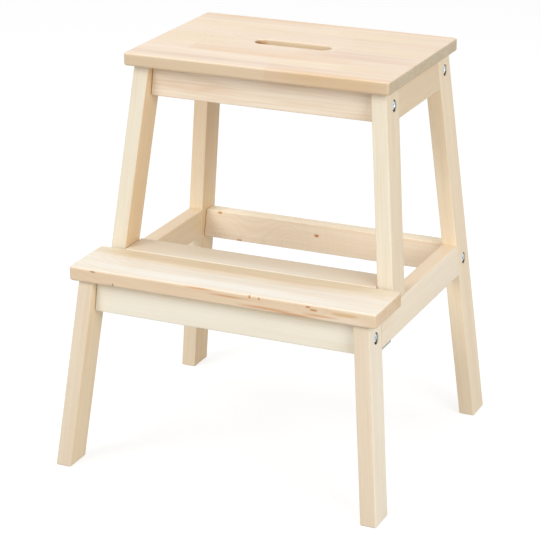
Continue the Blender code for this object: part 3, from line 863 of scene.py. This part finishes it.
def make_side_frame(side_name, side):
    """Three legs and two rails of one side frame, whose outer faces lie in one leaning plane."""
    lean = -side * SPLAY
    outward = (side, 0, SPLAY)
    for index, (leg, (face, edge, bolts)) in enumerate(LEGS.items()):
        node = f"{leg}_{side_name}"
        rake = -BACK_RAKE if leg == "back_leg" else FRONT_RAKE
        # Painted shade in each bolt's recess, as a dark mark
        marks = [painted_recess_shade(f"bolt_{place}_{side_name}", node, (lean, rake, 1), outward) for place in bolts]
        # Painted shade on the upper part of this leg, under the top board
        if node == "back_leg_left":
            marks.append(((190, 0, 0), (210, 60, 60), "painted_shade_under_top"))
        finish = wood(
            node + "_aspen", middle_of(node), (lean, rake, 1), outward, 1.7 + 2.3 * index + side * 0.7,
            face, edge, figure=0.9, ring_gap=5.5, marks=marks,
        )
        bores = [bolt_recess(place, side_name) for place in bolts]
        put_bar(node, (lean, lean, rake, rake), 2, "leg_wood", finish, bores)
    for index, (rail, face) in enumerate(SIDE_RAILS.items()):
        node = f"{rail}_{side_name}"
        finish = wood(
            node + "_aspen", middle_of(node), Y, outward, 8.1 + 1.9 * index + side * 0.6, face,
            (236, 216, 188), figure=0.6,
        )
        bores = []
        if rail == "lower_side_rail":
            bores = [screw_pocket("step_screw_side_" + side_name, node)]
        put_bar(node, (lean, lean, FRONT_RAKE, -BACK_RAKE), 1, "rail_wood", finish, bores)


def make_bolts():
    """Bolts with low domed heads. Rings run from the socket's floor over the head and down the shank.

    The dome is a quarter ellipse: radius = land + (head - land) sin t, height = dome (cos t - 1).
    The socket's wall is a hexagon: radius = apothem / cos(angle from the nearest flat's middle).
    """
    finish = zinc("bright_zinc")
    count = 72
    angle = np.linspace(0, 2 * math.pi, count, endpoint=False)
    hexagon = 1 / np.cos((angle + math.pi / 6) % (math.pi / 3) - math.pi / 6)
    circle = np.ones(count)
    head, shank, socket, thick = 6.6 * MM, 3.0 * MM, 2.0 * MM, 2.9 * MM
    land, dome = 3.1 * MM, 2.1 * MM
    turn = np.linspace(0, math.pi / 2, 9)
    for side_name, side in SIDES.items():
        for place in ("upper_front", "upper_back", "lower_front", "lower_back"):
            node = f"bolt_{place}_{side_name}"
            low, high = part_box(node)
            middle = (low + high) / 2
            top = high.x if side > 0 else low.x
            length = high.x - low.x
            rows = [(0.2 * MM, circle, -2.9 * MM), (socket * 0.7, hexagon, -2.5 * MM)]
            rows += [(socket, hexagon, -2.1 * MM), (socket, hexagon, -0.35 * MM)]
            rows += [(socket + 0.25 * MM, hexagon, -0.04 * MM), (socket + 0.9 * MM, circle, 0.0)]
            rows += [(land + (head - land) * math.sin(t), circle, dome * (math.cos(t) - 1)) for t in turn]
            rows += [(head, circle, -thick), (shank + 0.4 * MM, circle, -thick)]
            rows += [(shank, circle, -thick - 0.4 * MM)]
            rows += [(shank, circle, 0.8 * MM - length), (shank - 0.8 * MM, circle, -length)]
            radius = np.stack([r * shape for r, shape, _ in rows])
            height = np.array([h for _, _, h in rows])
            start = (top, middle.y, middle.z)
            points, faces = capped_rings(turned_points(start, (side, 0, 0), radius, height, count))
            piece = mesh_object(node + "_zinc", points, faces)
            settle(piece, finish, "zinc_hardware", node)


def finish_hidden_hardware():
    """CAD nodes that stay: dowels, barrel nuts, wood screws and corner plates."""
    beech = wood("beech_dowel", (0, 0, 0), Z, Y, 4.4, (206, 170, 128), ring_gap=2.0)
    plate = zinc("galvanised_sheet", (190, 194, 194), 0.34)
    plated = zinc("plated_steel", (196, 202, 204), 0.32)
    for node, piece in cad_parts.items():
        if node.startswith("dowel"):
            finish = beech
        elif node.startswith("corner_plate"):
            finish = plate
        elif node.startswith(("barrel_nut", "top_screw", "step_screw", "plate_screw")):
            finish = plated
        else:
            continue
        piece.data.materials.clear()
        piece.data.materials.append(finish)


def whole_seen(graph):
    """1 where the surround is seen straight or in a glossy face, and 0 where it lights a matt one."""
    straight = graph.node("ShaderNodeLightPath", None, None, 0)
    mirrored = graph.node("ShaderNodeLightPath", None, None, 3)
    return straight.most(mirrored)


def make_studio():
    """A pale floor, a pale surround and three wide soft lights.

    The floor and the surround look white in the picture, and light the wood as a pale grey
    floor and wall would.
    """
    graph = Graph("studio_floor")
    seen = whole_seen(graph)
    lit = graph.node("ShaderNodeBsdfDiffuse", None, {"Color": (0.36, 0.36, 0.36, 1)})
    glow = graph.node("ShaderNodeEmission", None, {"Color": (1, 1, 1, 1), "Strength": 0.12})
    white = graph.node("ShaderNodeEmission", None, {"Color": (1, 1, 1, 1), "Strength": 0.72})
    shown = graph.node("ShaderNodeMixShader", None, {0: seen, 1: glow, 2: white})
    floor_light = graph.node("ShaderNodeAddShader", None, {0: lit, 1: shown})
    graph.node("ShaderNodeOutputMaterial", None, {"Surface": floor_light})
    count = 96
    angle = np.linspace(0, 2 * math.pi, count, endpoint=False)
    radius = np.array([1.0, 4.0, 16.0])
    rings = radius[:, None, None] * np.stack([np.cos(angle), np.sin(angle), 0 * angle], axis=-1)
    faces = ring_faces(len(radius), count) + [list(range(count))]
    mesh = bpy.data.meshes.new("floor")
    mesh.from_pydata((rings.reshape(-1, 3) - (0, 0, 0.3 * MM)).tolist(), [], faces)
    floor = bpy.data.objects.new("floor", mesh)
    mesh.materials.append(graph.material)
    bpy.context.scene.collection.objects.link(floor)

    world = bpy.data.worlds.new("studio")
    world.use_nodes = True
    sky = Graph.of_tree(world.node_tree)
    seen = whole_seen(sky)
    white = sky.node("ShaderNodeBackground", None, {"Color": (1, 1, 1, 1), "Strength": 1.0})
    glow = sky.node("ShaderNodeBackground", None, {"Color": (1, 1, 1, 1), "Strength": WORLD_LIGHT})
    shown = sky.node("ShaderNodeMixShader", None, {0: seen, 1: glow, 2: white})
    sky.node("ShaderNodeOutputWorld", None, {"Surface": shown})
    bpy.context.scene.world = world

    for name, (place, power) in LAMPS.items():
        lamp = bpy.data.lights.new(name, "AREA")
        lamp.shape = "DISK"
        lamp.size = 2.0
        lamp.energy = power
        holder = bpy.data.objects.new(name, lamp)
        holder.location = place
        aim = Vector((0, 0, 0.25)) - Vector(place)
        holder.rotation_euler = aim.to_track_quat("-Z", "Y").to_euler()
        bpy.context.scene.collection.objects.link(holder)


def make_camera():
    camera = bpy.data.cameras.new("camera")
    camera.lens = CAMERA_LENS
    camera.sensor_width = CAMERA_SENSOR
    camera.clip_end = 60
    holder = bpy.data.objects.new("camera", camera)
    azimuth, elevation = math.radians(CAMERA_AZIMUTH), math.radians(CAMERA_ELEVATION)
    holder.location = CAMERA_AT
    holder.rotation_euler = (math.pi / 2 - elevation, 0, azimuth)
    bpy.context.scene.collection.objects.link(holder)
    bpy.context.scene.camera = holder


make_boards()
make_cross_rails()
for side_name, side in SIDES.items():
    make_side_frame(side_name, side)
make_bolts()
finish_hidden_hardware()
make_studio()
make_camera()
bpy.context.scene.view_settings.view_transform = "Standard"

bpy.context.view_layer.update()
